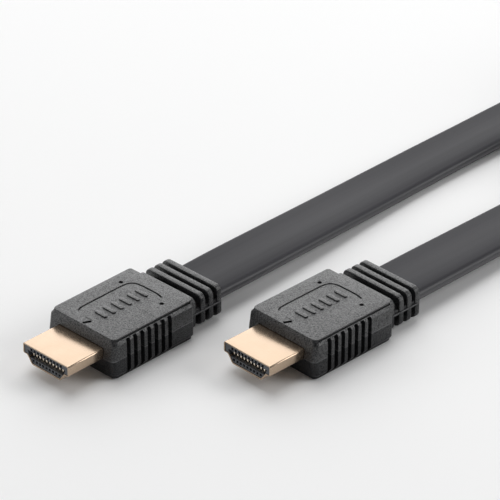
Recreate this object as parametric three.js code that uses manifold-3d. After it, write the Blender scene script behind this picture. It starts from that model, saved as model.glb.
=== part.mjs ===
// Flat audio and video cable with a moulded 19-contact plug on each end.
// Millimetres, +Z up, floor at z = 0. The plugs lie side by side with their noses towards -X,
// and the cable runs away from them along +X into a coil that stands on its edge.
import * as THREE from 'three';
import { mergeVertices } from 'three/addons/utils/BufferGeometryUtils.js';
import Module from 'manifold-3d';

const wasm = await Module();
wasm.setup();

// metal shell of the plug
const shellWidth = 13.9;
const shellHeight = 4.45;
const shellLength = 12.8;          // with the stretch that sits inside the moulding
const sheetThickness = 0.3;
const shoulderDrop = 2.5;          // from the top down to where the sides turn inwards
const shoulderWidth = 11.1;
const shellFloorWidth = 8.8;
const shellCornerRadius = 0.5;

// insulator inside the shell
const insulatorFit = 0.08;         // clearance to the sheet
const insulatorRecess = 0.35;      // behind the shell's front edge
const slotTopWidth = 11.6;
const slotFloorWidth = 10.2;
const slotHeight = 1.5;
const slotDepth = 8.2;
const slotRise = 0.05;             // slot centre above the middle of the shell

// contacts
const contactPitch = 1.0;
const upperContacts = 10;
const lowerContacts = 9;
const contactWidth = 0.42;
const contactThickness = 0.22;
const contactLength = 7.0;
const contactSetback = 0.35;       // behind the insulator's front
const contactFit = 0.02;
const cavityWidth = 0.52;
const cavityHeight = 0.46;
const cavityDepth = 1.2;
const cavityRise = 1.29;           // of each cavity row from the middle of the shell

// moulded body
const shellReach = 9.6;            // shell in front of the body
const bodyLength = 23.8;
const bodyWidth = 20.2;
const bodyHeight = 9.6;
const plugAxisHeight = 4.7;        // middle of the shell and of the cable above the floor
const edgeBevelWidth = 0.6;
const edgeBevelHeight = 1.3;
const noseSlope = 0.6;
const noseBevel = 0.7;
const bodyCornerRadius = 1.2;
const cornerSteps = 5;
const shellPocketFit = 0.1;
const pocketEndGap = 0.3;

// grip grooves on the body's long sides
const gripCount = 7;
const gripPitch = 2.0;
const gripWidth = 1.1;
const gripDepth = 0.9;
const gripTopGap = 0.75;           // below the top face
const gripStart = 4.6;             // first groove's middle from the front of the body

// strain relief behind the body
const reliefWidth = 17.0;
const reliefHeight = 7.6;
const reliefCornerRadius = 1.5;
const collarLength = 2.05;
const firstGroove = 1.5;
const ribLength = 1.4;
const ribPitch = 2.45;
const ribCount = 3;
const webHeight = 2.0;
const coreWidth = 15.2;
const coreHeight = 4.0;

// cable
const cableWidth = 14.1;
const cableThickness = 2.6;
const tubeGap = 0.3;

// places of the two plugs' noses, and their turn about Z
const plugPlaces = {
  left: [-36.53, 14.6, 0.86],
  right: [-6.73, -14.6, -0.86],
};

// coil, standing on edge on its tie
const coilCentre = [188, -62];
const coilInnerRadius = 58.6;
const coilOuterRadius = 76.2;
const coilSegments = 64;
const tieThickness = 0.8;
const tieGap = 0.3;
const tieWidth = 10;
const tieAngle = 52;               // on the coil, from +X
const coilLift = tieThickness + tieGap;
const centreBendRadius = 30;
const centreBendAngle = 142.5;
const centreTurn = -54;            // direction of the middle strand's first end from +X

// centrelines of the two free stretches: x, y, z and the roll of the flat section in degrees
const leftRun = [
  [7.02, 15.26, 4.7, 0.8], [18, 15.6, 4.6, 2.1], [32, 16.4, 4.1, 1.65], [46, 17.5, 3.3, 1.05],
  [60, 18.7, 2.45, 0.5], [74, 19.6, 1.9, -0.2], [88, 19.95, 1.8, -1], [104, 20.05, 1.85, -1.9],
  [120, 20.1, 2.0, -2.8], [128, 19.9, 3.0, -12], [136, 18.9, 4.75, -30], [144, 16.9, 6.6, -54],
  [152, 14.7, 7.8, -76], [159, 13.3, 8.1, -88], [166.4, 12.85, 8.15, -90],
];
const rightRun = [
  [36.82, -15.25, 4.7, 0.6], [48, -15.0, 4.4, 1], [60, -14.6, 3.9, 0.5], [72, -14.3, 3.5, -0.1],
  [82, -14.1, 3.2, -0.6], [92, -14.0, 3.0, -1], [102, -13.2, 3.6, 11], [112, -10.4, 5.3, 34],
  [122, -5.4, 6.8, 58], [131.5, -0.2, 7.7, 78], [140, 4.2, 8.1, 88], [147, 6.6, 8.15, 90],
  [153.1, 7.5, 8.15, 90],
];

const materials = {
  moulding: new THREE.MeshStandardMaterial({ color: 0x4b4d50, roughness: 0.6, metalness: 0 }),
  gold: new THREE.MeshStandardMaterial({ color: 0xe8c9a0, roughness: 0.25, metalness: 1 }),
  insulator: new THREE.MeshStandardMaterial({ color: 0x3a3f46, roughness: 0.5, metalness: 0 }),
  jacket: new THREE.MeshStandardMaterial({ color: 0x3c3d40, roughness: 0.5, metalness: 0 }),
  strap: new THREE.MeshStandardMaterial({ color: 0x202022, roughness: 0.9, metalness: 0 }),
};

function named(name, geometry, material) {
  const mesh = new THREE.Mesh(geometry, material);
  mesh.name = name;
  return mesh;
}

function toSolid(geometry) {
  const bare = geometry.clone();
  bare.deleteAttribute('normal');
  bare.deleteAttribute('uv');
  const welded = mergeVertices(bare, 1e-4);
  return new wasm.Manifold(new wasm.Mesh({
    numProp: 3,
    vertProperties: new Float32Array(welded.attributes.position.array),
    triVerts: new Uint32Array(welded.index.array),
  }));
}

function toGeometry(solid) {
  const mesh = solid.getMesh();
  const geometry = new THREE.BufferGeometry();
  geometry.setAttribute('position', new THREE.BufferAttribute(new Float32Array(mesh.vertProperties), 3));
  geometry.setIndex(new THREE.BufferAttribute(new Uint32Array(mesh.triVerts), 1));
  geometry.computeVertexNormals();
  return geometry;
}

function joined(geometries) {
  return geometries.map(toSolid).reduce((all, solid) => all.add(solid));
}

function cutFrom(solid, geometries) {
  return geometries.map(toSolid).reduce((rest, tool) => rest.subtract(tool), solid);
}

function block(x0, x1, y0, y1, z0, z1) {
  const geometry = new THREE.BoxGeometry(x1 - x0, y1 - y0, z1 - z0);
  geometry.translate((x0 + x1) / 2, (y0 + y1) / 2, (z0 + z1) / 2);
  return geometry;
}

// outline with each corner [y, z, radius] rounded by a short curve
function roundedPath(corners, PathClass) {
  const path = new PathClass();
  const count = corners.length;
  corners.forEach(([y, z, radius], i) => {
    const here = new THREE.Vector2(y, z);
    const before = new THREE.Vector2(...corners[(i + count - 1) % count].slice(0, 2));
    const after = new THREE.Vector2(...corners[(i + 1) % count].slice(0, 2));
    const entry = here.clone().add(before.sub(here).setLength(radius));
    const leave = here.clone().add(after.sub(here).setLength(radius));
    if (i === 0) path.moveTo(entry.x, entry.y);
    else path.lineTo(entry.x, entry.y);
    path.quadraticCurveTo(y, z, leave.x, leave.y);
  });
  path.closePath();
  return path;
}

// the shell's outline, drawn in by the given distance
function shellCorners(inset) {
  const top = shellHeight / 2 - inset;
  const radius = Math.max(shellCornerRadius - inset, 0.15);
  const side = shellWidth / 2 - inset;
  const shoulder = shellHeight / 2 - shoulderDrop + inset * 0.6;
  const waist = shoulderWidth / 2 - inset;
  const foot = shellFloorWidth / 2 - inset * 0.6;
  return [
    [side, top, radius], [-side, top, radius],
    [-side, shoulder, radius], [-waist, shoulder - 0.3, radius * 0.8], [-foot, -top, radius],
    [foot, -top, radius], [waist, shoulder - 0.3, radius * 0.8], [side, shoulder, radius],
  ];
}

// extrusion of a Y-Z outline along +X from x0 to x1
function alongX(shape, x0, x1, curveSegments = 3) {
  const geometry = new THREE.ExtrudeGeometry(shape, { depth: x1 - x0, bevelEnabled: false, curveSegments });
  geometry.applyMatrix4(new THREE.Matrix4().set(
    0, 0, 1, x0,
    1, 0, 0, 0,
    0, 1, 0, plugAxisHeight,
    0, 0, 0, 1,
  ));
  return geometry;
}

function shellGeometry() {
  const outline = roundedPath(shellCorners(0), THREE.Shape);
  outline.holes.push(roundedPath(shellCorners(sheetThickness), THREE.Path));
  return alongX(outline, 0, shellLength);
}

const slotMiddle = slotRise;
const slotTop = slotMiddle + slotHeight / 2;
const slotFloor = slotMiddle - slotHeight / 2;

function contactRows() {
  const rows = [];
  for (let i = 0; i < upperContacts; i += 1) {
    rows.push({ y: ((upperContacts - 1) / 2 - i) * contactPitch, side: 1 });
  }
  for (let i = 0; i < lowerContacts; i += 1) {
    rows.push({ y: ((lowerContacts - 1) / 2 - i) * contactPitch, side: -1 });
  }
  return rows;
}

function insulatorGeometry() {
  const outline = roundedPath(shellCorners(sheetThickness + insulatorFit), THREE.Shape);
  const blank = toSolid(alongX(outline, insulatorRecess, shellLength));
  const slot = roundedPath([
    [slotTopWidth / 2, slotTop, 0.1], [-slotTopWidth / 2, slotTop, 0.1],
    [-slotFloorWidth / 2, slotFloor, 0.1], [slotFloorWidth / 2, slotFloor, 0.1],
  ], THREE.Shape);
  const cavities = contactRows().map(({ y, side }) => {
    const z = plugAxisHeight + side * cavityRise;
    return block(insulatorRecess - 1, insulatorRecess + cavityDepth,
      y - cavityWidth / 2, y + cavityWidth / 2, z - cavityHeight / 2, z + cavityHeight / 2);
  });
  const slotTool = alongX(slot, insulatorRecess - 1, insulatorRecess + slotDepth, 1);
  return toGeometry(cutFrom(blank, [slotTool, ...cavities]));
}

function contactGeometry({ y, side }) {
  const face = plugAxisHeight + (side > 0 ? slotTop : slotFloor) - side * contactFit;
  const inner = face - side * contactThickness;
  const front = insulatorRecess + contactSetback;
  return block(front, front + contactLength, y - contactWidth / 2, y + contactWidth / 2,
    Math.min(face, inner), Math.max(face, inner));
}

// one closed ring of points of the body's plan at a given height
function bodyRing(front, rear, halfWidth, height) {
  const ring = [];
  const radius = bodyCornerRadius;
  const corners = [
    [rear - radius, halfWidth - radius, 0], [front + radius, halfWidth - radius, 90],
    [front + radius, -halfWidth + radius, 180], [rear - radius, -halfWidth + radius, 270],
  ];
  corners.forEach(([x, y, start]) => {
    for (let i = 0; i < cornerSteps; i += 1) {
      const angle = THREE.MathUtils.degToRad(start + (90 * i) / (cornerSteps - 1));
      ring.push([x + radius * Math.cos(angle), y + radius * Math.sin(angle), height]);
    }
  });
  return ring;
}

function stacked(rings) {
  const size = rings[0].length;
  const points = rings.flat();
  const index = [];
  for (let level = 0; level < rings.length - 1; level += 1) {
    for (let i = 0; i < size; i += 1) {
      const a = level * size + i;
      const b = level * size + ((i + 1) % size);
      index.push(a, b, b + size, a, b + size, a + size);
    }
  }
  const last = (rings.length - 1) * size;
  for (let i = 1; i < size - 1; i += 1) {
    index.push(0, i + 1, i);
    index.push(last, last + i, last + i + 1);
  }
  const geometry = new THREE.BufferGeometry();
  geometry.setAttribute('position', new THREE.Float32BufferAttribute(points.flat(), 3));
  geometry.setIndex(index);
  return geometry;
}

const bodyRear = shellReach + bodyLength;
const firstRibEnd = bodyRear + collarLength + firstGroove + ribLength;
const reliefEnd = firstRibEnd + (ribCount - 1) * ribPitch;

function bodyBlank() {
  const half = bodyWidth / 2;
  const levels = [
    [0, noseSlope + noseBevel, edgeBevelWidth],
    [edgeBevelHeight, noseSlope, 0],
    [plugAxisHeight, 0, 0],
    [bodyHeight - edgeBevelHeight, noseSlope, 0],
    [bodyHeight, noseSlope + noseBevel, edgeBevelWidth],
  ];
  return stacked(levels.map(([height, back, inset]) => bodyRing(
    shellReach + back, bodyRear, half - inset, height)));
}

function hoop(width, height, radius, x0, x1) {
  const y = width / 2;
  const z = height / 2;
  const outline = roundedPath([[y, z, radius], [-y, z, radius], [-y, -z, radius], [y, -z, radius]], THREE.Shape);
  return alongX(outline, x0, x1, 4);
}

function reliefPieces() {
  const pieces = [
    hoop(reliefWidth, reliefHeight, reliefCornerRadius, bodyRear - 1, bodyRear + collarLength),
    hoop(coreWidth, coreHeight, coreHeight * 0.4, bodyRear - 1, reliefEnd),
    block(bodyRear - 1, reliefEnd, -reliefWidth / 2, reliefWidth / 2,
      plugAxisHeight - webHeight / 2, plugAxisHeight + webHeight / 2),
  ];
  for (let i = 0; i < ribCount; i += 1) {
    const end = firstRibEnd + i * ribPitch;
    pieces.push(hoop(reliefWidth, reliefHeight, reliefCornerRadius, end - ribLength, end));
  }
  return pieces;
}

function gripGrooves() {
  const tools = [];
  const outer = bodyWidth / 2;
  for (let i = 0; i < gripCount; i += 1) {
    const x = shellReach + gripStart + i * gripPitch;
    for (const side of [1, -1]) {
      const y0 = side * (outer - gripDepth);
      const y1 = side * (outer + 1);
      tools.push(block(x - gripWidth / 2, x + gripWidth / 2, Math.min(y0, y1), Math.max(y0, y1),
        -1, bodyHeight - gripTopGap));
    }
  }
  return tools;
}

function mouldingGeometry() {
  const pocketOutline = roundedPath(shellCorners(-shellPocketFit), THREE.Shape);
  const pocket = alongX(pocketOutline, shellReach - 1, shellLength + pocketEndGap);
  const solid = joined([bodyBlank(), ...reliefPieces()]);
  return toGeometry(cutFrom(solid, [pocket, ...gripGrooves()]));
}

const shared = {
  shell: shellGeometry(),
  insulator: insulatorGeometry(),
  moulding: mouldingGeometry(),
};

function plug(side) {
  const group = new THREE.Group();
  group.add(named(`${side}_moulding`, shared.moulding, materials.moulding));
  group.add(named(`${side}_shell`, shared.shell, materials.gold));
  group.add(named(`${side}_insulator`, shared.insulator, materials.insulator));
  contactRows().forEach((row, i) => {
    const label = String(i + 1).padStart(2, '0');
    group.add(named(`${side}_contact_${label}`, contactGeometry(row), materials.gold));
  });
  const [x, y, turn] = plugPlaces[side];
  group.position.set(x, y, 0);
  group.rotation.z = THREE.MathUtils.degToRad(turn);
  return group;
}

// centreline whose flat section turns by the given roll along the way
class RolledPath extends THREE.CatmullRomCurve3 {
  constructor(rows) {
    super(rows.map(([x, y, z]) => new THREE.Vector3(x, y, z)), false, 'centripetal');
    this.rolls = rows.map((row) => row[3]);
  }

  rollAt(t) {
    const place = Math.min(Math.max(t, 0), 1) * (this.rolls.length - 1);
    const low = Math.min(Math.floor(place), this.rolls.length - 2);
    return THREE.MathUtils.degToRad(THREE.MathUtils.lerp(this.rolls[low], this.rolls[low + 1], place - low));
  }

  computeFrenetFrames(segments) {
    const tangents = [];
    const normals = [];
    const binormals = [];
    const up = new THREE.Vector3(0, 0, 1);
    for (let i = 0; i <= segments; i += 1) {
      const t = this.getUtoTmapping(i / segments);
      const tangent = this.getTangent(t);
      const side = new THREE.Vector3().crossVectors(up, tangent).normalize();
      side.applyAxisAngle(tangent, this.rollAt(t));
      tangents.push(tangent);
      normals.push(side);
      binormals.push(new THREE.Vector3().crossVectors(tangent, side));
    }
    return { tangents, normals, binormals };
  }
}

function cableSection() {
  const y = cableWidth / 2;
  const z = cableThickness / 2;
  const outline = [
    [y, z * 0.45], [y - z * 0.4, z * 0.85], [y - z, z], [-y + z, z], [-y + z * 0.4, z * 0.85], [-y, z * 0.45],
    [-y, -z * 0.45], [-y + z * 0.4, -z * 0.85], [-y + z, -z], [y - z, -z], [y - z * 0.4, -z * 0.85], [y, -z * 0.45],
  ];
  return new THREE.Shape(outline.map(([a, b]) => new THREE.Vector2(a, b)));
}

function strip(rows, steps) {
  return new THREE.ExtrudeGeometry(cableSection(), { extrudePath: new RolledPath(rows), steps, bevelEnabled: false });
}

// the strand that crosses the middle of the coil in two opposite half turns
function centreRows() {
  const rows = [];
  const z = coilLift + cableWidth / 2;
  const steps = 8;
  for (let i = -steps; i <= steps; i += 1) {
    const angle = THREE.MathUtils.degToRad((Math.abs(i) / steps) * centreBendAngle);
    const sign = Math.sign(i);
    const along = sign * centreBendRadius * (1 - Math.cos(angle));
    const across = -sign * centreBendRadius * Math.sin(angle);
    const turn = THREE.MathUtils.degToRad(centreTurn);
    rows.push([
      coilCentre[0] + along * Math.cos(turn) - across * Math.sin(turn),
      coilCentre[1] + along * Math.sin(turn) + across * Math.cos(turn), z, 90,
    ]);
  }
  return rows;
}

function coilGeometry() {
  const bottom = coilLift;
  const top = coilLift + cableWidth;
  const profile = [
    [coilInnerRadius, bottom], [coilOuterRadius, bottom], [coilOuterRadius, top], [coilInnerRadius, top],
    [coilInnerRadius, bottom],
  ];
  const geometry = new THREE.LatheGeometry(profile.map(([r, z]) => new THREE.Vector2(r, z)), coilSegments);
  geometry.rotateX(Math.PI / 2);
  geometry.translate(coilCentre[0], coilCentre[1], 0);
  return geometry;
}

function tieGeometry() {
  const halfWidth = (coilOuterRadius - coilInnerRadius) / 2 + tieGap;
  const bottom = coilLift - tieGap;
  const top = coilLift + cableWidth + tieGap;
  const outline = roundedPath([
    [halfWidth + tieThickness, top + tieThickness, 1], [-halfWidth - tieThickness, top + tieThickness, 1],
    [-halfWidth - tieThickness, bottom - tieThickness, 1], [halfWidth + tieThickness, bottom - tieThickness, 1],
  ], THREE.Shape);
  outline.holes.push(roundedPath([
    [halfWidth, top, 0.3], [-halfWidth, top, 0.3], [-halfWidth, bottom, 0.3], [halfWidth, bottom, 0.3],
  ], THREE.Path));
  const geometry = new THREE.ExtrudeGeometry(outline, { depth: tieWidth, bevelEnabled: false, curveSegments: 3 });
  geometry.translate(0, 0, -tieWidth / 2);
  geometry.rotateX(Math.PI / 2);
  return geometry;
}

const plugs = new THREE.Group();
plugs.add(plug('left'), plug('right'));
plugs.updateMatrixWorld(true);
const middle = new THREE.Box3().setFromObject(plugs, true).getCenter(new THREE.Vector3());
plugs.position.set(-middle.x, -middle.y, 0);

const tie = named('tie', tieGeometry(), materials.strap);
const coilMiddleRadius = (coilInnerRadius + coilOuterRadius) / 2;
const tieTurn = THREE.MathUtils.degToRad(tieAngle);
tie.position.set(coilCentre[0] + coilMiddleRadius * Math.cos(tieTurn),
  coilCentre[1] + coilMiddleRadius * Math.sin(tieTurn), 0);
tie.rotation.z = tieTurn;

const part = new THREE.Group();
part.add(plugs);
part.add(named('cable_left', strip(leftRun, 34), materials.jacket));
part.add(named('cable_right', strip(rightRun, 26), materials.jacket));
part.add(named('cable_centre', strip(centreRows(), 28), materials.jacket));
part.add(named('cable_coil', coilGeometry(), materials.jacket));
part.add(tie);

export default part;
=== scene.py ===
import math

import bpy
import numpy as np
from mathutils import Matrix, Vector


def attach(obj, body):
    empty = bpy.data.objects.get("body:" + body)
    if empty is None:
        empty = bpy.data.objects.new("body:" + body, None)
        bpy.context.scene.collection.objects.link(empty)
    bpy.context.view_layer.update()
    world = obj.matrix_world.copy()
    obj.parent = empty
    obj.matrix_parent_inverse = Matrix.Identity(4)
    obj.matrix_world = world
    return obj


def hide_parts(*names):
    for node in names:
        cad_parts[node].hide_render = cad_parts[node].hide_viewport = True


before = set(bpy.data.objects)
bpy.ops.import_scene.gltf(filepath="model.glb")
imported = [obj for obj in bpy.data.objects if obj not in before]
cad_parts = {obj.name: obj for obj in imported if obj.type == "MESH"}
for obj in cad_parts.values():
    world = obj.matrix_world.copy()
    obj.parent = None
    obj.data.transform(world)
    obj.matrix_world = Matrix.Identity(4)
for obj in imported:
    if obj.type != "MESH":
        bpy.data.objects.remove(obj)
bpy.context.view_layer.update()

mm = 0.001
plugAxis = 4.7                   # height of the plugs' and the cable ends' middle above the floor

# camera at the photograph's angle
camera = {
    "place": (-374.87, -386.1, 343.5),
    "looksAlong": (0.60548, 0.60951, -0.51174),
    "lens": 216.0,
    "sensor": 36.0,
}


def addCamera():
    bpy.ops.object.select_all(action="DESELECT")
    bpy.ops.object.camera_add(location=Vector(camera["place"]) * mm)
    eye = bpy.context.object
    eye.name = "photoCamera"
    eye.rotation_euler = Vector(camera["looksAlong"]).to_track_quat("-Z", "Y").to_euler()
    eye.data.lens = camera["lens"]
    eye.data.sensor_width = camera["sensor"]
    eye.data.clip_start = 0.01
    eye.data.clip_end = 10.0
    bpy.context.scene.camera = eye
    print("camera ready")


addCamera()

# flat cable: one strip from the left plug through the coil to the right plug, in millimetres
cable = {
    "width": 14.1,
    "thickness": 2.6,
    "step": 2.4,                 # between rings of the mesh
    "length": 1.5,               # in metres
    "intoRelief": 5.0,           # how far each end runs into its plug
    "endSlope": 0.015,           # sideways run of the ends, as the plugs are turned
    "strandGap": 5.3,            # between neighbouring strands, middle to middle
    "coilCentre": (188.0, -62.0),
    "innerRadius": 60.0,
    "turns": 1.4,                # of the left strand
    "pointsPerTurn": 24,
    "bendRadius": 30.0,          # of the strand across the middle
    "pointsPerBend": 9,
    "coilHeight": 8.15,
}
# once round the section
stripGirth = 2 * (cable["width"] - cable["thickness"]) + math.pi * cable["thickness"]

# centreline of the free stretches: x, y, z and the roll of the strip in degrees
leftRun = [
    (7.02, 15.26, 4.7, 0.8), (18, 15.6, 4.6, 2.1), (32, 16.4, 4.1, 1.65), (46, 17.5, 3.3, 1.05),
    (60, 18.7, 2.45, 0.5), (74, 19.6, 1.9, -0.2), (88, 19.95, 1.8, -1), (104, 20.05, 1.85, -1.9),
    (120, 20.1, 2.0, -2.8), (128, 19.9, 3.0, -12), (136, 18.9, 4.75, -30), (144, 16.9, 6.6, -54),
    (152, 14.7, 7.8, -76), (159, 13.3, 8.1, -88), (166.4, 12.85, 8.15, -90),
]
rightRun = [
    (36.82, -15.25, 4.7, 0.6), (48, -15.0, 4.4, 1), (60, -14.6, 3.9, 0.5), (72, -14.3, 3.5, -0.1),
    (82, -14.1, 3.2, -0.6), (92, -14.0, 3.0, -1), (102, -13.2, 3.6, 11), (112, -10.4, 5.3, 34),
    (122, -5.4, 6.8, 58), (131.5, -0.2, 7.7, 78), (140, 4.2, 8.1, 88), (147, 6.6, 8.15, 90),
    (153.1, 7.5, 8.15, 90),
]


def coilPoint(angle, radius):
    x, y = cable["coilCentre"]
    return (x + radius * math.cos(angle), y + radius * math.sin(angle), cable["coilHeight"], -90.0)


# rows of x, y, z, roll from the left plug to the right one
def cableRoute():
    pitch = 2 * cable["strandGap"]
    inner = cable["innerRadius"]
    turns = cable["turns"]
    top = math.pi / 2
    lead = cable["intoRelief"]
    x, y, z, roll = leftRun[0]
    rows = [(x - lead, y - cable["endSlope"] * lead, plugAxis, roll)]
    rows += leftRun
    count = round(turns * cable["pointsPerTurn"])
    # left strand, inwards and clockwise
    for i in range(count + 1):
        done = i / count * turns
        rows.append(coilPoint(top - 2 * math.pi * done, inner + pitch * (turns - done)))
    start = top - 2 * math.pi * turns
    # across the middle in two opposite half turns
    bend = cable["bendRadius"]
    x0, y0 = cable["coilCentre"]
    steps = cable["pointsPerBend"]
    for i in range(steps - 1, -steps, -1):
        angle = abs(i) / steps * math.pi
        sign = 1 if i > 0 else -1
        along = sign * bend * (1 - math.cos(angle))
        across = -sign * bend * math.sin(angle)
        x = x0 + along * math.cos(start) - across * math.sin(start)
        y = y0 + along * math.sin(start) + across * math.cos(start)
        rows.append((x, y, cable["coilHeight"], -90.0))
    # right strand, outwards
    outTurns = turns - 0.5
    count = round(outTurns * cable["pointsPerTurn"])
    for i in range(count + 1):
        done = i / count * outTurns
        rows.append(coilPoint(start + math.pi + 2 * math.pi * done, inner + pitch * done))
    rows += [(x, y, z, -roll) for x, y, z, roll in reversed(rightRun)]
    x, y, z, roll = rightRun[0]
    rows.append((x - lead, y + cable["endSlope"] * lead, plugAxis, -roll))
    return rows


# centripetal Catmull-Rom through the rows, sampled about every step
def smoothLine(rows, step):
    points = np.array(rows, dtype=float)
    ends = np.vstack([2 * points[0] - points[1], points, 2 * points[-1] - points[-2]])
    dense = []
    for i in range(1, len(ends) - 2):
        p0, p1, p2, p3 = ends[i - 1:i + 3]
        t0 = 0.0
        t1 = t0 + max(np.linalg.norm(p1[:3] - p0[:3]), 1e-6) ** 0.5
        t2 = t1 + max(np.linalg.norm(p2[:3] - p1[:3]), 1e-6) ** 0.5
        t3 = t2 + max(np.linalg.norm(p3[:3] - p2[:3]), 1e-6) ** 0.5
        for t in np.linspace(t1, t2, 13)[:-1]:
            a1 = (t1 - t) / (t1 - t0) * p0 + (t - t0) / (t1 - t0) * p1
            a2 = (t2 - t) / (t2 - t1) * p1 + (t - t1) / (t2 - t1) * p2
            a3 = (t3 - t) / (t3 - t2) * p2 + (t - t2) / (t3 - t2) * p3
            b1 = (t2 - t) / (t2 - t0) * a1 + (t - t0) / (t2 - t0) * a2
            b2 = (t3 - t) / (t3 - t1) * a2 + (t - t1) / (t3 - t1) * a3
            dense.append((t2 - t) / (t2 - t1) * b1 + (t - t1) / (t2 - t1) * b2)
    dense.append(points[-1])
    dense = np.array(dense)
    along = np.concatenate([[0], np.cumsum(np.linalg.norm(np.diff(dense[:, :3], axis=0), axis=1))])
    stations = np.linspace(0, along[-1], max(2, round(along[-1] / step)) + 1)
    return np.column_stack([np.interp(stations, along, dense[:, k]) for k in range(4)]), stations


# the strip's outline: flat faces with fully rounded sides
def cableSection():
    half = cable["thickness"] / 2
    straight = cable["width"] / 2 - half
    outline = []
    for side in (1, -1):
        for i in range(9):
            angle = -math.pi / 2 + math.pi * i / 8
            outline.append((side * (straight + half * math.cos(angle)), side * half * math.sin(angle)))
        for share in (0.6, 0.2, -0.2, -0.6):
            outline.append((side * straight * share, side * half))
    return outline


def makeCable():
    line, stations = smoothLine(cableRoute(), cable["step"])
    place = line[:, :3]
    tangent = np.gradient(place, axis=0)
    tangent /= np.linalg.norm(tangent, axis=1)[:, None]
    side = np.cross([0, 0, 1], tangent)
    side /= np.linalg.norm(side, axis=1)[:, None]
    up = np.cross(tangent, side)
    roll = np.radians(line[:, 3])[:, None]
    across = side * np.cos(roll) + up * np.sin(roll)
    normal = -side * np.sin(roll) + up * np.cos(roll)
    outline = cableSection()
    ring = len(outline)
    verts = []
    for i in range(len(place)):
        for u, v in outline:
            verts.append(tuple((place[i] + across[i] * u + normal[i] * v) * mm))
    faces = []
    for i in range(len(place) - 1):
        for k in range(ring):
            a = i * ring + k
            b = i * ring + (k + 1) % ring
            faces.append((a, a + ring, b + ring, b))
    faces.append(tuple(range(ring)))
    faces.append(tuple(reversed(range((len(place) - 1) * ring, len(place) * ring))))
    mesh = bpy.data.meshes.new("flatCable")
    mesh.from_pydata(verts, [], faces)
    mesh.update()
    # u runs across the strip, v along it, both in metres
    girth = [0.0]
    for k in range(ring):
        a, b = outline[k], outline[(k + 1) % ring]
        girth.append(girth[-1] + math.hypot(b[0] - a[0], b[1] - a[1]))
    uvLayer = mesh.uv_layers.new(name="strip")
    for face in mesh.polygons:
        closesRing = len(face.vertices) == 4 and max(vert % ring for vert in face.vertices) == ring - 1
        for corner in face.loop_indices:
            i, k = divmod(mesh.loops[corner].vertex_index, ring)
            if closesRing and k == 0:
                k = ring
            uvLayer.data[corner].uv = (girth[k] * mm, stations[i] * mm)
    piece = bpy.data.objects.new("flatCable", mesh)
    bpy.context.collection.objects.link(piece)
    for face in mesh.polygons:
        face.use_smooth = len(face.vertices) == 4
    path = [tuple(p * mm) for p in place]
    print("cable made, metres:", round(stations[-1] * mm, 4))
    return piece, path


flatCable, cablePath = makeCable()


# small helpers for modelling by hand
def deselectAll():
    if bpy.context.object and bpy.context.object.mode == "EDIT":
        bpy.ops.object.mode_set(mode="OBJECT")
    bpy.ops.object.select_all(action="DESELECT")


def pick(piece):
    deselectAll()
    piece.select_set(True)
    bpy.context.view_layer.objects.active = piece


# a box between two corners in millimetres, with its place in its mesh
def addBlock(name, low, high):
    deselectAll()
    low, high = Vector(low) * mm, Vector(high) * mm
    bpy.ops.mesh.primitive_cube_add(size=1, location=(low + high) / 2)
    piece = bpy.context.object
    piece.name = name
    piece.scale = high - low
    bpy.ops.object.transform_apply(location=True, rotation=True, scale=True)
    return piece


# edit mode with just the edges selected whose two ends pass the test
def selectEdges(piece, wanted):
    pick(piece)
    bpy.ops.object.mode_set(mode="EDIT")
    bpy.ops.mesh.select_mode(type="EDGE")
    bpy.ops.mesh.select_all(action="DESELECT")
    bpy.ops.object.mode_set(mode="OBJECT")
    verts = piece.data.vertices
    for edge in piece.data.edges:
        a, b = verts[edge.vertices[0]].co / mm, verts[edge.vertices[1]].co / mm
        edge.select = bool(wanted(a, b))
    bpy.ops.object.mode_set(mode="EDIT")


def selectVerts(piece, wanted):
    pick(piece)
    bpy.ops.object.mode_set(mode="EDIT")
    bpy.ops.mesh.select_mode(type="VERT")
    bpy.ops.mesh.select_all(action="DESELECT")
    bpy.ops.object.mode_set(mode="OBJECT")
    for vert in piece.data.vertices:
        vert.select = bool(wanted(vert.co / mm))
    bpy.ops.object.mode_set(mode="EDIT")


def bevelPicked(width, segments=3):
    bpy.ops.mesh.bevel(offset=width * mm, segments=segments, affect="EDGES")
    bpy.ops.object.mode_set(mode="OBJECT")


def cutAcross(piece, point, normal):
    pick(piece)
    bpy.ops.object.mode_set(mode="EDIT")
    bpy.ops.mesh.select_all(action="SELECT")
    bpy.ops.mesh.bisect(plane_co=Vector(point) * mm, plane_no=normal)
    bpy.ops.object.mode_set(mode="OBJECT")


def joinPieces(main, others):
    pick(main)
    for other in others:
        other.select_set(True)
    bpy.ops.object.join()
    return main


# boolean with a throwaway tool
def combine(piece, tool, operation):
    pick(piece)
    change = piece.modifiers.new(operation.lower(), "BOOLEAN")
    change.operation = operation
    change.object = tool
    change.solver = "EXACT"
    change.use_self = operation == "UNION"
    bpy.ops.object.modifier_apply(modifier=change.name)
    bpy.data.objects.remove(tool)
    return piece


def softenEdges(piece, width, segments=2, angle=30):
    pick(piece)
    change = piece.modifiers.new("softEdges", "BEVEL")
    change.width = width * mm
    change.segments = segments
    change.limit_method = "ANGLE"
    change.angle_limit = math.radians(angle)
    change.harden_normals = False
    bpy.ops.object.modifier_apply(modifier=change.name)


def smoothBelow(piece, angle):
    pick(piece)
    bpy.ops.object.shade_smooth_by_angle(angle=math.radians(angle))


def copyPiece(piece, name, move=(0, 0, 0)):
    deselectAll()
    twin = piece.copy()
    twin.data = piece.data.copy()
    twin.name = name
    bpy.context.collection.objects.link(twin)
    pick(twin)
    bpy.ops.transform.translate(value=Vector(move) * mm)
    bpy.ops.object.transform_apply(location=True, rotation=True, scale=True)
    return twin


# a piece and its copies, each one step further on
def copyRow(first, count, step):
    row = [first]
    for i in range(1, count):
        row.append(copyPiece(first, first.name, Vector(step) * i))
    return row


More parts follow.
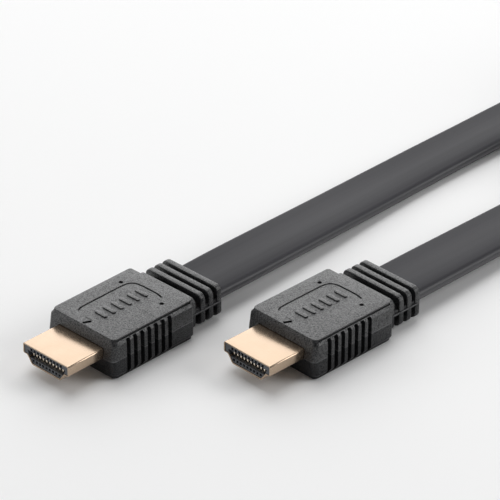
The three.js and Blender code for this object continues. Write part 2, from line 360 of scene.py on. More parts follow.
# plug moulding: its body, in millimetres from the shell's open end
moulding = {
    "front": 9.6,
    "rear": 33.4,
    "halfWidth": 10.1,
    "height": 9.6,
    "frontRadius": 1.2,
    "rearRadius": 0.7,
    "edgeDrop": 1.3,             # sloped edge round the top and bottom faces
    "edgeInset": 0.66,
    "noseSlope": 0.6,
    "noseBevel": 0.4,
    "lipDrop": 0.6,              # low wall between the top face and its sloped edge
    "lipInset": 0.56,
    "lipGroove": (0.3, 0.36),    # width and height
    "lipStart": 1.6,
    "edgeRadius": 0.22,
    "smoothBelow": 28,           # degrees between faces
}


def makeBody():
    front, rear = moulding["front"], moulding["rear"]
    side, top = moulding["halfWidth"], moulding["height"]
    piece = addBlock("plugMoulding", (front, -side, 0), (rear, side, top))
    selectEdges(piece, lambda a, b: abs(a.z - b.z) > 1 and a.x < front + 0.1)
    bevelPicked(moulding["frontRadius"], 6)
    selectEdges(piece, lambda a, b: abs(a.z - b.z) > 1 and a.x > rear - 0.1)
    bevelPicked(moulding["rearRadius"], 4)
    # the nose slopes back above and below the middle, and the long edges lean in
    lipShare = 1 - moulding["lipDrop"] / moulding["edgeDrop"]
    levels = [(0, moulding["edgeInset"], 1), (moulding["lipDrop"], moulding["lipInset"], lipShare),
              (moulding["edgeDrop"], 0, 0)]
    for drop, inset, lean in levels[1:]:
        cutAcross(piece, (0, 0, drop), (0, 0, 1))
        cutAcross(piece, (0, 0, top - drop), (0, 0, 1))
    cutAcross(piece, (0, 0, plugAxis), (0, 0, 1))
    noseEnd = front + moulding["frontRadius"] + 0.05
    for drop, inset, lean in levels:
        def atLevel(p):
            return min(abs(p.z - drop), abs(p.z - top + drop)) < 0.01

        selectVerts(piece, lambda p: p.x < noseEnd and atLevel(p))
        back = moulding["noseSlope"] + lean * moulding["noseBevel"]
        bpy.ops.transform.translate(value=(back * mm, 0, 0))
        selectVerts(piece, atLevel)
        bpy.ops.transform.resize(value=(1, 1 - inset / side, 1), center_override=(0, 0, 0))
    bpy.ops.object.mode_set(mode="OBJECT")
    softenEdges(piece, moulding["edgeRadius"], 3, 18)
    wide, tall = moulding["lipGroove"]
    x0, x1 = front + moulding["lipStart"], rear - moulding["lipInset"]
    y = side - moulding["lipInset"] - wide
    z0 = top - moulding["lipDrop"]
    z1 = z0 + tall
    lines = [addBlock("lipGroove", (x0, y, z0), (x1, y + 2, z1)),
             addBlock("lipGroove", (x0, -y - 2, z0), (x1, -y, z1))]
    combine(piece, joinPieces(lines[0], lines[1:]), "DIFFERENCE")
    return piece


# ribbed strain relief
relief = {
    "halfWidth": 8.5,
    "halfHeight": 3.8,
    "cornerRadius": 1.5,
    "collar": 2.05,
    "firstGroove": 1.5,
    "rib": 1.4,
    "pitch": 2.45,
    "ribs": 3,
    "edgeRadius": 0.22,
    "root": 0.8,                 # how far the relief starts inside the body
    "coreHalfWidth": 7.6,
    "coreHalfHeight": 2.0,
    "webInset": 0.3,
    "webHalfHeight": 0.75,
    "webEdge": 0.12,
    "ledgeOut": 0.12,            # parting line that stands out at the height of the axis
    "ledgeHalfHeight": 0.22,
    "ledgeCorner": 0.9,
    "ledgeEdge": 0.08,
    "coreShort": 0.2,            # where core, web and ledge end, from the last rib's back
    "webShort": 0.15,
    "ledgePast": 0.08,
}


def makeHoop(name, x0, x1, halfWidth, halfHeight, radius):
    hoop = addBlock(name, (x0, -halfWidth, plugAxis - halfHeight), (x1, halfWidth, plugAxis + halfHeight))
    selectEdges(hoop, lambda a, b: abs(a.x - b.x) > 0.1)
    bevelPicked(radius, 8)
    return hoop


def makeRelief():
    rear = moulding["rear"]
    start = rear - relief["root"]
    firstEnd = rear + relief["collar"] + relief["firstGroove"] + relief["rib"]
    end = firstEnd + (relief["ribs"] - 1) * relief["pitch"]
    outer = (relief["halfWidth"], relief["halfHeight"], relief["cornerRadius"])
    collar = makeHoop("collar", start, rear + relief["collar"], *outer)
    softenEdges(collar, relief["edgeRadius"], 2, 40)
    rib = makeHoop("rib", firstEnd - relief["rib"], firstEnd, *outer)
    softenEdges(rib, relief["edgeRadius"], 2, 40)
    ribs = copyRow(rib, relief["ribs"], (relief["pitch"], 0, 0))
    core = makeHoop("core", start, end - relief["coreShort"], relief["coreHalfWidth"],
                    relief["coreHalfHeight"], relief["cornerRadius"])
    side = relief["halfWidth"] - relief["webInset"]
    web = addBlock("web", (start, -side, plugAxis - relief["webHalfHeight"]),
                   (end - relief["webShort"], side, plugAxis + relief["webHalfHeight"]))
    softenEdges(web, relief["webEdge"], 2)
    side = relief["halfWidth"] + relief["ledgeOut"]
    ledge = addBlock("ledge", (start, -side, plugAxis - relief["ledgeHalfHeight"]),
                     (end + relief["ledgePast"], side, plugAxis + relief["ledgeHalfHeight"]))
    selectEdges(ledge, lambda a, b: abs(a.z - b.z) > 0.1)
    bevelPicked(relief["ledgeCorner"], 4)
    softenEdges(ledge, relief["ledgeEdge"], 2)
    for addition in ribs + [core, web, ledge]:
        combine(collar, addition, "UNION")
    return collar


# grooves in both long sides
grip = {
    "count": 7,
    "start": 14.2,               # middle of the first groove
    "pitch": 2.0,
    "width": 1.1,
    "depth": 1.2,
    "bottom": 0.45,
    "topGap": 0.75,
    "edgeRadius": 0.18,
}


def gripTool():
    outer = moulding["halfWidth"]
    half = grip["width"] / 2
    tools = []
    for side in (1, -1):
        low, high = sorted((side * (outer - grip["depth"]), side * (outer + 1)))
        first = addBlock("gripTool", (grip["start"] - half, low, grip["bottom"]),
                         (grip["start"] + half, high, moulding["height"] - grip["topGap"]))
        softenEdges(first, grip["edgeRadius"], 2)
        tools += copyRow(first, grip["count"], (grip["pitch"], 0, 0))
    return joinPieces(tools[0], tools[1:])


# fine relief of the top face: x, y in millimetres from the plug's nose and middle
topFace = {
    "hook": [(13.7, 4.5), (14.4, 5.05), (15.4, 5.2), (20, 5.22), (27.2, 5.25), (28.6, 5.0), (29.5, 4.2),
             (29.9, 3.0), (29.95, 0), (29.95, -2.9), (29.5, -4.3)],
    "hookRadius": 0.28,
    "hookSink": 0.1,             # of the tool's middle below the face
    "dimples": [(27.8, 6.5), (27.8, -6.0)],
    "dimpleRadius": 0.53,
    "dimpleSink": 0.12,
    "arrow": [(10.98, 0.41), (12.69, -0.45), (13.56, 1.71)],
    "arrowSize": 1.35,
    "arrowTurn": 28,             # degrees
    "arrowDepth": 0.06,
    "strokeRadius": 0.52,        # deep side of the arrow
    "strokeSink": 0.3,
}
bars = {
    "count": 6,
    "start": 16.0,               # middle of the first bar
    "pitch": 2.35,
    "middle": 0.1,
    "length": 3.6,
    "width": 0.95,
    "rise": 0.24,
    "root": 0.4,
    "cornerRadius": 0.45,
    "edgeRadius": 0.08,
}


# round tool along a polyline that lies on the top face
def grooveTool(points, radius, sink):
    curve = bpy.data.curves.new("grooveTool", "CURVE")
    curve.dimensions = "3D"
    spline = curve.splines.new("NURBS")
    spline.points.add(len(points) - 1)
    for point, (x, y) in zip(spline.points, points):
        point.co = (x * mm, y * mm, (moulding["height"] - sink) * mm, 1)
    spline.use_endpoint_u = True
    spline.order_u = 3
    curve.bevel_depth = radius * mm
    curve.bevel_resolution = 3
    curve.use_fill_caps = True
    tool = bpy.data.objects.new("grooveTool", curve)
    bpy.context.collection.objects.link(tool)
    pick(tool)
    bpy.ops.object.convert(target="MESH")
    return bpy.context.object


# shallow three-cornered recess, whose side towards the nose is cut deeper afterwards
def arrowTool():
    top = moulding["height"]
    corners = [Vector(corner) for corner in topFace["arrow"]]
    middle = sum(corners, Vector((0, 0))) / 3
    deselectAll()
    tall = 0.5
    level = top - topFace["arrowDepth"] + tall / 2
    bpy.ops.mesh.primitive_cylinder_add(vertices=3, radius=topFace["arrowSize"] * mm, depth=tall * mm,
                                        location=Vector((middle.x, middle.y, level)) * mm)
    tool = bpy.context.object
    bpy.ops.transform.rotate(value=math.radians(topFace["arrowTurn"]), orient_axis="Z",
                             center_override=(middle.x * mm, middle.y * mm, top * mm))
    bpy.ops.object.transform_apply(location=True, rotation=True, scale=True)
    return tool


# metal shell, also for the hollow in the moulding and for the insulator
shell = {
    "length": 12.8,
    "halfWidth": 6.95,
    "halfHeight": 2.225,
    "shoulder": -0.275,          # all heights from the plug's axis
    "waist": 6.3,
    "waistHeight": 0.5,
    "foot": 4.4,
    "bend": 0.42,
    "sheet": 0.3,
    "edgeRadius": 0.06,
    "pocketStart": 8.0,          # hollow in the moulding
    "pocketEnd": 13.1,
    "pocketFit": 0.12,
}


# solid with the shell's outline, drawn in by the given distance
def shellForm(name, x0, x1, inset):
    z = plugAxis
    slant = inset * 0.6          # the sloping walls come in less
    side, top = shell["halfWidth"] - inset, shell["halfHeight"] - inset
    waist, foot = shell["waist"] - inset, shell["foot"] - slant
    form = addBlock(name, (x0, -side, z + shell["shoulder"] + slant), (x1, side, z + top))
    lower = addBlock(name, (x0, -waist, z - top), (x1, waist, z + shell["waistHeight"]))
    selectVerts(lower, lambda p: p.z < z - 1)
    bpy.ops.transform.resize(value=(1, foot / waist, 1), center_override=(0, 0, 0))
    bpy.ops.object.mode_set(mode="OBJECT")
    combine(form, lower, "UNION")
    selectEdges(form, lambda a, b: abs(a.x - b.x) > 1)
    bevelPicked(shell["bend"] - inset, 5)
    return form


# plain raised bars
def makeBars():
    x, y = bars["start"], bars["middle"]
    halfWidth, halfLength = bars["width"] / 2, bars["length"] / 2
    first = addBlock("raisedBar", (x - halfWidth, y - halfLength, moulding["height"] - bars["root"]),
                     (x + halfWidth, y + halfLength, moulding["height"] + bars["rise"]))
    selectEdges(first, lambda a, b: abs(a.z - b.z) > 0.1)
    bevelPicked(bars["cornerRadius"], 4)
    softenEdges(first, bars["edgeRadius"], 2)
    row = copyRow(first, bars["count"], (bars["pitch"], 0, 0))
    return joinPieces(row[0], row[1:])


def makeMoulding():
    piece = makeBody()
    combine(piece, gripTool(), "DIFFERENCE")
    combine(piece, grooveTool(topFace["hook"], topFace["hookRadius"], topFace["hookSink"]), "DIFFERENCE")
    level = moulding["height"] - topFace["dimpleSink"]
    for x, y in topFace["dimples"]:
        deselectAll()
        bpy.ops.mesh.primitive_uv_sphere_add(segments=20, ring_count=12, radius=topFace["dimpleRadius"] * mm,
                                             location=Vector((x, y, level)) * mm)
        dimple = bpy.context.object
        bpy.ops.object.transform_apply(location=True, rotation=True, scale=True)
        combine(piece, dimple, "DIFFERENCE")
    combine(piece, arrowTool(), "DIFFERENCE")
    stroke = grooveTool(topFace["arrow"][:2], topFace["strokeRadius"], topFace["strokeSink"])
    combine(piece, stroke, "DIFFERENCE")
    combine(piece, makeBars(), "UNION")
    combine(piece, makeRelief(), "UNION")
    pocket = shellForm("pocketTool", shell["pocketStart"], shell["pocketEnd"], -shell["pocketFit"])
    combine(piece, pocket, "DIFFERENCE")
    smoothBelow(piece, moulding["smoothBelow"])
    print("moulding made, faces:", len(piece.data.polygons))
    return piece


# x and y of each plug's open end, and its turn in degrees
plugPlaces = {"left": (-36.5335, 14.6, 0.86), "right": (-6.7335, -14.6, -0.86)}


# moves a piece modelled from the nose at the origin to its plug, with its place in its mesh
def placeOnPlug(piece, side):
    x, y, turn = plugPlaces[side]
    pick(piece)
    piece.location = (x * mm, y * mm, 0)
    piece.rotation_euler = (0, 0, math.radians(turn))
    bpy.ops.object.transform_apply(location=True, rotation=True, scale=True)
    return piece


leftMoulding = makeMoulding()
leftMoulding.name = "leftMoulding"
rightMoulding = copyPiece(leftMoulding, "rightMoulding")
placeOnPlug(leftMoulding, "left")
placeOnPlug(rightMoulding, "right")


# a sheet folded to the outline, open at the front
def makeShell():
    piece = shellForm("shell", 0, shell["length"], 0)
    combine(piece, shellForm("shellInside", -1, shell["length"] + 1, shell["sheet"]), "DIFFERENCE")
    softenEdges(piece, shell["edgeRadius"], 2, 50)
    smoothBelow(piece, 35)
    print("shell made, faces:", len(piece.data.polygons))
    return piece


leftShell = makeShell()
leftShell.name = "leftShell"
rightShell = copyPiece(leftShell, "rightShell")
placeOnPlug(leftShell, "left")
placeOnPlug(rightShell, "right")


# dark insulator inside the shell: the slot for the socket's tongue, and a hole in front of each contact
insulator = {
    "front": 0.12,
    "fit": 0.08,
    "slotTop": 5.5,              # heights above the floor
    "slotFloor": 4.0,
    "slotHalfTop": 5.8,
    "slotHalfFloor": 5.1,
    "slotDepth": 8.2,
    "holeSize": 0.64,
    "holeDepth": 3.0,
    "pitch": 1.0,
    "rows": [(10, 5.96), (9, 3.5)],   # holes, and height of the row
    "edgeRadius": 0.03,
}


def makeInsulator():
    front = insulator["front"]
    piece = shellForm("insulator", front, shell["length"], shell["sheet"] + insulator["fit"])
    slotTool = addBlock("slotTool", (front - 1, -insulator["slotHalfTop"], insulator["slotFloor"]),
                        (front + insulator["slotDepth"], insulator["slotHalfTop"], insulator["slotTop"]))
    selectVerts(slotTool, lambda p: p.z < insulator["slotFloor"] + 0.1)
    narrow = insulator["slotHalfFloor"] / insulator["slotHalfTop"]
    bpy.ops.transform.resize(value=(1, narrow, 1), center_override=(0, 0, 0))
    bpy.ops.object.mode_set(mode="OBJECT")
    combine(piece, slotTool, "DIFFERENCE")
    half = insulator["holeSize"] / 2
    for count, z in insulator["rows"]:
        y = (count - 1) / 2 * insulator["pitch"]
        first = addBlock("holeTool", (front - 1, y - half, z - half),
                         (front + insulator["holeDepth"], y + half, z + half))
        tools = copyRow(first, count, (0, -insulator["pitch"], 0))
        combine(piece, joinPieces(tools[0], tools[1:]), "DIFFERENCE")
    softenEdges(piece, insulator["edgeRadius"], 1, 50)
    print("insulator made, faces:", len(piece.data.polygons))
    return piece


leftInsulator = makeInsulator()
leftInsulator.name = "leftInsulator"
rightInsulator = copyPiece(leftInsulator, "rightInsulator")
placeOnPlug(leftInsulator, "left")
placeOnPlug(rightInsulator, "right")


# upper contacts: sprung blades whose rounded noses hang into the slot
contact = {
    "count": insulator["rows"][0][0],
    "width": 0.4,
    "back": 7.7,
    "top": 5.48,                 # heights above the floor
    "blade": 0.22,
    "nose": (0.66, 1.15),        # from and to, behind the shell's open end
    "noseBottom": 4.32,
    "overlap": 0.2,              # of the blade with its nose
    "noseRadius": 0.15,
    "edgeRadius": 0.04,
}


def makeContact():
    half = contact["width"] / 2
    front, rear = contact["nose"]
    top, low = contact["top"], contact["noseBottom"]
    piece = addBlock("contact", (rear - contact["overlap"], -half, top - contact["blade"]),
                     (contact["back"], half, top))
    nose = addBlock("contactNose", (front, -half, low), (rear, half, top))
    selectEdges(nose, lambda a, b: abs(a.y - b.y) > 0.1 and min(a.z, b.z) < low + 0.1)
    bevelPicked(contact["noseRadius"], 4)
    combine(piece, nose, "UNION")
    softenEdges(piece, contact["edgeRadius"], 2, 40)
    smoothBelow(piece, 35)
    return piece


firstContact = makeContact()
contacts = {}
for side in plugPlaces:
    for i in range(contact["count"]):
        across = ((contact["count"] - 1) / 2 - i) * insulator["pitch"]
        twin = copyPiece(firstContact, f"{side}Contact{i + 1:02d}", (0, across, 0))
        contacts[f"{side}_contact_{i + 1:02d}"] = placeOnPlug(twin, side)
bpy.data.objects.remove(firstContact)
print("contacts made:", len(contacts))


# the tie round the coil: a strap of loops with its end laid over itself
tie = {
    "angle": 52.0,
    "innerRadius": 58.6,         # of the turns that it holds
    "outerRadius": 76.2,
    "bottom": 1.1,
    "top": 15.2,
    "gap": 0.3,
    "thickness": 0.8,
    "width": 10.0,
    "bend": 1.3,
    "innerBend": 0.6,
    "edgeRadius": 0.12,
    "lapThickness": 0.7,
    "lapShare": 0.35,            # of the half width, on the inner side
    "lapInset": 0.25,
    "lapBend": 1.8,
}


def makeTie():
    half = (tie["outerRadius"] - tie["innerRadius"]) / 2 + tie["gap"]
    low, high = tie["bottom"] - tie["gap"], tie["top"] + tie["gap"]
    t = tie["thickness"]
    side = tie["width"] / 2
    strap = addBlock("coilTie", (-half - t, -side, low - t), (half + t, side, high + t))
    selectEdges(strap, lambda a, b: abs(a.y - b.y) > 1)
    bevelPicked(tie["bend"], 6)
    hole = addBlock("tieHole", (-half, -tie["width"], low), (half, tie["width"], high))
    selectEdges(hole, lambda a, b: abs(a.y - b.y) > 1)
    bevelPicked(tie["innerBend"], 5)
    combine(strap, hole, "DIFFERENCE")
    side -= tie["lapInset"]
    lap = addBlock("tieLap", (-half * tie["lapShare"], -side, high + t - 0.1),
                   (half - tie["innerBend"], side, high + t + tie["lapThickness"]))
    selectEdges(lap, lambda a, b: abs(a.z - b.z) > 0.1 and a.x < 0)
    bevelPicked(tie["lapBend"], 5)
    combine(strap, lap, "UNION")
    softenEdges(strap, tie["edgeRadius"], 2, 40)
    x0, y0 = cable["coilCentre"]
    middle = (tie["innerRadius"] + tie["outerRadius"]) / 2
    angle = math.radians(tie["angle"])
    pick(strap)
    strap.location = ((x0 + middle * math.cos(angle)) * mm, (y0 + middle * math.sin(angle)) * mm, 0)
    strap.rotation_euler = (0, 0, angle)
    bpy.ops.object.transform_apply(location=True, rotation=True, scale=True)
    smoothBelow(strap, 30)
    print("tie made")
    return strap


coilTie = makeTie()


# shader pieces
def socketGroup(name, inputs, outputs):
    group = bpy.data.node_groups.new(name, "ShaderNodeTree")
    for label, kind, value in inputs:
        socket = group.interface.new_socket(label, in_out="INPUT", socket_type=kind)
        if value is not None:
            socket.default_value = value
    for label, kind in outputs:
        group.interface.new_socket(label, in_out="OUTPUT", socket_type=kind)
    return group, group.nodes.new("NodeGroupInput"), group.nodes.new("NodeGroupOutput")


# moulded grain: fine pits over slow patches
def makeGrain():
    group, start, end = socketGroup(
        "mouldedGrain",
        [("vector", "NodeSocketVector", None), ("scale", "NodeSocketFloat", 4000.0)],
        [("height", "NodeSocketFloat"), ("patches", "NodeSocketFloat")])
    nodes, links = group.nodes, group.links
    fine = nodes.new("ShaderNodeTexNoise")
    fine.inputs["Detail"].default_value = 3.0
    fine.inputs["Roughness"].default_value = 0.6
    links.new(start.outputs["vector"], fine.inputs["Vector"])
    links.new(start.outputs["scale"], fine.inputs["Scale"])
    slow = nodes.new("ShaderNodeTexNoise")
    slow.inputs["Scale"].default_value = 260.0
    slow.inputs["Detail"].default_value = 4.0
    links.new(start.outputs["vector"], slow.inputs["Vector"])
    links.new(fine.outputs["Fac"], end.inputs["height"])
    links.new(slow.outputs["Fac"], end.inputs["patches"])
    return group


grainGroup = makeGrain()


def newMaterial(name, color, roughness, metallic=0.0):
    material = bpy.data.materials.new(name)
    material.use_nodes = True
    shader = material.node_tree.nodes["Principled BSDF"]
    shader.inputs["Base Color"].default_value = (*color, 1)
    shader.inputs["Roughness"].default_value = roughness
    shader.inputs["Metallic"].default_value = metallic
    return material, material.node_tree.nodes, material.node_tree.links, shader


def mixColors(nodes, links, mask, dark, light, low=0.3, high=0.7):
    ramp = nodes.new("ShaderNodeValToRGB")
    ramp.color_ramp.elements[0].position = low
    ramp.color_ramp.elements[0].color = (*dark, 1)
    ramp.color_ramp.elements[1].position = high
    ramp.color_ramp.elements[1].color = (*light, 1)
    links.new(mask, ramp.inputs["Fac"])
    return ramp.outputs["Color"]


def addBump(nodes, links, shader, height, strength, distance):
    bump = nodes.new("ShaderNodeBump")
    bump.inputs["Strength"].default_value = strength
    bump.inputs["Distance"].default_value = distance
    links.new(height, bump.inputs["Height"])
    links.new(bump.outputs["Normal"], shader.inputs["Normal"])


def spread(nodes, links, value, low, high, fromLow=0.0, fromHigh=1.0):
    remap = nodes.new("ShaderNodeMapRange")
    remap.inputs["From Min"].default_value = fromLow
    remap.inputs["From Max"].default_value = fromHigh
    remap.inputs["To Min"].default_value = low
    remap.inputs["To Max"].default_value = high
    links.new(value, remap.inputs["Value"])
    return remap.outputs["Result"]


def useGrain(nodes, links, scale, vector=None):
    place = nodes.new("ShaderNodeTexCoord")
    grain = nodes.new("ShaderNodeGroup")
    grain.node_tree = grainGroup
    grain.inputs["scale"].default_value = scale
    links.new(vector or place.outputs["Object"], grain.inputs["vector"])
    return grain


def newMath(nodes, links, operation, first, second):
    node = nodes.new("ShaderNodeMath")
    node.operation = operation
    for i, value in enumerate((first, second)):
        if isinstance(value, float):
            node.inputs[i].default_value = value
        else:
            links.new(value, node.inputs[i])
    return node


mouldingFinish = {
    "dark": (0.009, 0.0095, 0.0105),
    "light": (0.014, 0.0145, 0.016),
    "grain": 3800.0,
    "roughness": (0.28, 0.44),
    "gloss": (0.08, 1.15),
    "lowerGloss": 0.4,           # the lower half of the mould left a duller surface
    "seam": (0.08, 0.081, 0.085),
    "seamRise": 0.05,            # above the plug's axis
    "seamHalfWidth": 0.13,
    "glossBlend": 0.1,           # height over which the two halves' gloss meets
    "bump": 0.00012,             # metres
}


# grained plastic, with the line where the two halves of the mould met at the height of the axis
def mouldingMaterial():
    finish = mouldingFinish
    material, nodes, links, shader = newMaterial("greyMoulding", finish["light"], 0.4)
    grain = useGrain(nodes, links, finish["grain"])
    tone = mixColors(nodes, links, grain.outputs["patches"], finish["dark"], finish["light"])
    place = nodes.new("ShaderNodeTexCoord")
    axes = nodes.new("ShaderNodeSeparateXYZ")
    links.new(place.outputs["Object"], axes.inputs["Vector"])
    near = newMath(nodes, links, "COMPARE", axes.outputs["Z"], (plugAxis + finish["seamRise"]) * mm)
    near.inputs[2].default_value = finish["seamHalfWidth"] * mm
    wobble = nodes.new("ShaderNodeTexNoise")
    wobble.inputs["Scale"].default_value = 700.0
    links.new(place.outputs["Object"], wobble.inputs["Vector"])
    faint = newMath(nodes, links, "MULTIPLY", near.outputs["Value"], wobble.outputs["Fac"])
    seam = nodes.new("ShaderNodeMix")
    seam.data_type = "RGBA"
    seam.inputs["B"].default_value = (*finish["seam"], 1)
    links.new(faint.outputs["Value"], seam.inputs["Factor"])
    links.new(tone, seam.inputs["A"])
    links.new(seam.outputs["Result"], shader.inputs["Base Color"])
    rough = spread(nodes, links, grain.outputs["height"], *finish["roughness"])
    links.new(rough, shader.inputs["Roughness"])
    # the same fine pits again, for the sparkle
    pits = nodes.new("ShaderNodeTexNoise")
    pits.inputs["Scale"].default_value = finish["grain"]
    pits.inputs["Detail"].default_value = 3.0
    pits.inputs["Roughness"].default_value = 0.6
    links.new(place.outputs["Object"], pits.inputs["Vector"])
    sparkle = spread(nodes, links, pits.outputs["Fac"], *finish["gloss"], 0.33, 0.67)
    low, high = (plugAxis - finish["glossBlend"]) * mm, plugAxis * mm
    halves = spread(nodes, links, axes.outputs["Z"], finish["lowerGloss"], 1.0, low, high)
    gloss = newMath(nodes, links, "MULTIPLY", sparkle, halves)
    links.new(gloss.outputs["Value"], shader.inputs["Specular IOR Level"])
    addBump(nodes, links, shader, grain.outputs["height"], 0.8, finish["bump"])
    return material


goldFinish = {
    "dark": (0.44, 0.335, 0.244),
    "light": (0.47, 0.362, 0.268),
    "metal": 0.9,
    "grain": 1800.0,
    "roughness": (0.2, 0.28),
    "bump": 0.00001,
}


def goldMaterial():
    finish = goldFinish
    material, nodes, links, shader = newMaterial("goldPlate", finish["light"], 0.3, finish["metal"])
    grain = useGrain(nodes, links, finish["grain"])
    tone = mixColors(nodes, links, grain.outputs["patches"], finish["dark"], finish["light"])
    links.new(tone, shader.inputs["Base Color"])
    rough = spread(nodes, links, grain.outputs["patches"], *finish["roughness"])
    links.new(rough, shader.inputs["Roughness"])
    addBump(nodes, links, shader, grain.outputs["height"], 0.05, finish["bump"])
    return material


# painted light: the contacts' gold is made much lighter than the shell's gold, to make up for the shade
# their tips sit in
litContactFinish = {
    "dark": (0.87, 0.75, 0.6),
    "light": (0.93, 0.81, 0.68),
    "grain": 1800.0,
    "roughness": 0.25,
}


def contactMaterial():
    finish = litContactFinish
    material, nodes, links, shader = newMaterial("contactPlate", finish["light"], finish["roughness"], 1.0)
    grain = useGrain(nodes, links, finish["grain"])
    tone = mixColors(nodes, links, grain.outputs["patches"], finish["dark"], finish["light"])
    links.new(tone, shader.inputs["Base Color"])
    return material


insulatorFinish = {
    "dark": (0.066, 0.071, 0.08),
    "light": (0.08, 0.085, 0.095),
    "grain": 5200.0,
    "roughness": 0.45,
    "bump": 0.00004,
}


def insulatorMaterial():
    finish = insulatorFinish
    material, nodes, links, shader = newMaterial("insulatorBlack", finish["light"], finish["roughness"])
    grain = useGrain(nodes, links, finish["grain"])
    tone = mixColors(nodes, links, grain.outputs["height"], finish["dark"], finish["light"])
    links.new(tone, shader.inputs["Base Color"])
    addBump(nodes, links, shader, grain.outputs["height"], 0.2, finish["bump"])
    return material


# gloss and roughness at shares of the way round the strip: one long edge, top, other edge, underside
jacketFinish = {
    "dark": (0.024, 0.0238, 0.0275),
    "light": (0.031, 0.0305, 0.0355),
    "streaks": 520.0,
    "stretch": 0.012,            # of the streaks along the cable
    "grain": 2600.0,
    "bump": 0.00005,
    "gloss": [(0, 0.1), (0.06, 0.62), (0.125, 0.1), (0.32, 0.18), (0.505, 0.1), (0.57, 0.62), (0.635, 0.1),
              (0.82, 0.18), (1, 0.1)],
    "rough": [(0, 0.52), (0.06, 0.34), (0.125, 0.52), (0.505, 0.52), (0.57, 0.34), (0.635, 0.52),
              (1, 0.52)],
}


def roundStrip(nodes, links, strip, stops):
    axes = nodes.new("ShaderNodeSeparateXYZ")
    links.new(strip, axes.inputs["Vector"])
    curve = nodes.new("ShaderNodeValToRGB")
    curve.color_ramp.interpolation = "EASE"
    ramp = curve.color_ramp.elements
    while len(ramp) < len(stops):
        ramp.new(0.5)
    for i, (share, value) in enumerate(stops):
        ramp[i].position = share
        ramp[i].color = (value, value, value, 1)
    links.new(spread(nodes, links, axes.outputs["X"], 0, 1, 0, stripGirth * mm), curve.inputs["Fac"])
    return curve.outputs["Color"]


# glossy rounded edges, and faint streaks that run with the cable, read from its own UV map
def jacketMaterial():
    finish = jacketFinish
    material, nodes, links, shader = newMaterial("cableJacket", finish["light"], 0.5)
    strip = nodes.new("ShaderNodeUVMap")
    strip.uv_map = "strip"
    stretch = nodes.new("ShaderNodeMapping")
    stretch.inputs["Scale"].default_value = (1.0, finish["stretch"], 1.0)
    links.new(strip.outputs["UV"], stretch.inputs["Vector"])
    streaks = nodes.new("ShaderNodeTexNoise")
    streaks.inputs["Scale"].default_value = finish["streaks"]
    streaks.inputs["Detail"].default_value = 4.0
    links.new(stretch.outputs["Vector"], streaks.inputs["Vector"])
    grain = useGrain(nodes, links, finish["grain"], strip.outputs["UV"])
    tone = mixColors(nodes, links, streaks.outputs["Fac"], finish["dark"], finish["light"])
    links.new(tone, shader.inputs["Base Color"])
    gloss = roundStrip(nodes, links, strip.outputs["UV"], finish["gloss"])
    links.new(gloss, shader.inputs["Specular IOR Level"])
    rough = roundStrip(nodes, links, strip.outputs["UV"], finish["rough"])
    links.new(rough, shader.inputs["Roughness"])
    both = newMath(nodes, links, "ADD", streaks.outputs["Fac"], grain.outputs["height"])
    addBump(nodes, links, shader, both.outputs["Value"], 0.12, finish["bump"])
    return material


strapFinish = {
    "dark": (0.012, 0.012, 0.013),
    "light": (0.045, 0.045, 0.048),
    "loops": 2200.0,
    "roughness": 0.85,
    "bump": 0.0002,
}


def strapMaterial():
    finish = strapFinish
    material, nodes, links, shader = newMaterial("blackStrap", finish["dark"], finish["roughness"])
    place = nodes.new("ShaderNodeTexCoord")
    loops = nodes.new("ShaderNodeTexVoronoi")
    loops.inputs["Scale"].default_value = finish["loops"]
    links.new(place.outputs["Object"], loops.inputs["Vector"])
    tone = mixColors(nodes, links, loops.outputs["Distance"], finish["dark"], finish["light"], 0.1, 0.8)
    links.new(tone, shader.inputs["Base Color"])
    shader.inputs["Sheen Weight"].default_value = 0.3
    addBump(nodes, links, shader, loops.outputs["Distance"], 0.6, finish["bump"])
    return material


def paint(piece, material):
    piece.data.materials.clear()
    piece.data.materials.append(material)


def paintNode(node, material):
    for slotPlace in node.material_slots:
        slotPlace.material = material
    if not node.material_slots:
        node.data.materials.append(material)


greyMoulding = mouldingMaterial()
goldPlate = goldMaterial()
contactPlate = contactMaterial()
insulatorBlack = insulatorMaterial()
cableJacket = jacketMaterial()
blackStrap = strapMaterial()

paint(leftMoulding, greyMoulding)
paint(rightMoulding, greyMoulding)
paint(leftShell, goldPlate)
paint(rightShell, goldPlate)
paint(leftInsulator, insulatorBlack)
paint(rightInsulator, insulatorBlack)
paint(flatCable, cableJacket)
paint(coilTie, blackStrap)
for piece in contacts.values():
    paint(piece, contactPlate)
for name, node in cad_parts.items():
    if "shell" in name:
        paintNode(node, goldPlate)
    elif "contact" in name:
        paintNode(node, contactPlate)
    elif "insulator" in name:
        paintNode(node, insulatorBlack)
    elif "moulding" in name:
        paintNode(node, greyMoulding)
    elif "cable" in name:
        paintNode(node, cableJacket)
    else:
        paintNode(node, blackStrap)
print("materials placed")

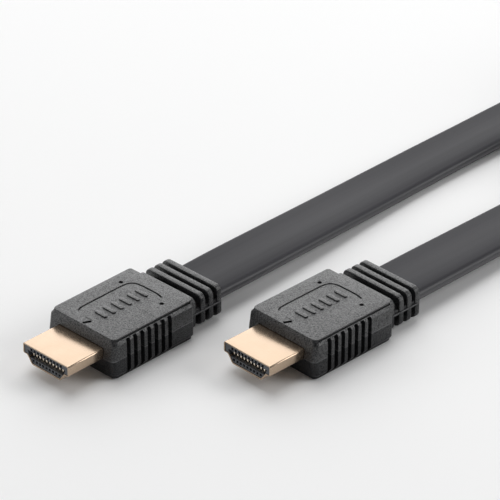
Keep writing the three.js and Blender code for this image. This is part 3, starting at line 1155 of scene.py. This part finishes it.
# floor, light
studio = {
    "world": 0.12,
    "floorSize": 6,
    "floorDrop": 0.0002,
    "floorGrey": 0.88,
    "lamps": {                   # place in metres, disk size, power
        "backSoft": ((0.73, 0.73, 0.62), 1.7, 16.0),
        "topSoft": ((0.05, 0.15, 1.2), 0.8, 4.6),
        "rightSoft": ((0.66, -0.71, 0.5), 0.7, 5.5),
        "leftSoft": ((-0.78, 0.68, 0.26), 0.6, 2.2),
    },
}


def addStage():
    deselectAll()
    bpy.ops.mesh.primitive_plane_add(size=studio["floorSize"], location=(0, 0, -studio["floorDrop"]))
    floor = bpy.context.object
    floor.name = "studioFloor"
    material, nodes, links, shader = newMaterial("paleFloor", (studio["floorGrey"],) * 3, 0.9)
    shader.inputs["Specular IOR Level"].default_value = 0.0
    paint(floor, material)
    world = bpy.data.worlds.new("studioWorld")
    world.use_nodes = True
    world.node_tree.nodes["Background"].inputs["Color"].default_value = (1, 1, 1, 1)
    world.node_tree.nodes["Background"].inputs["Strength"].default_value = studio["world"]
    bpy.context.scene.world = world


# soft disk that faces the origin
def addLamp(name, place, size, power):
    deselectAll()
    bpy.ops.object.light_add(type="AREA", location=place)
    lamp = bpy.context.object
    lamp.name = name
    lamp.data.shape = "DISK"
    lamp.data.size = size
    lamp.data.energy = power
    lamp.rotation_euler = (-Vector(place)).to_track_quat("-Z", "Y").to_euler()


addStage()
for name, (place, size, power) in studio["lamps"].items():
    addLamp(name, place, size, power)
bpy.context.scene.view_settings.view_transform = "Standard"
print("stage lit")

# tie the pieces to the frame
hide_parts("left_moulding")
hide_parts("right_moulding")
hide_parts("tie")
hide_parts("cable_left", "cable_right", "cable_centre", "cable_coil")
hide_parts("left_shell")
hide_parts("right_shell")
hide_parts("left_insulator")
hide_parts("right_insulator")
for name, piece in contacts.items():
    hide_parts(name)
for piece in (leftMoulding, rightMoulding, leftShell, rightShell, leftInsulator, rightInsulator):
    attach(piece, "root")
for piece in (coilTie, flatCable, *contacts.values()):
    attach(piece, "root")
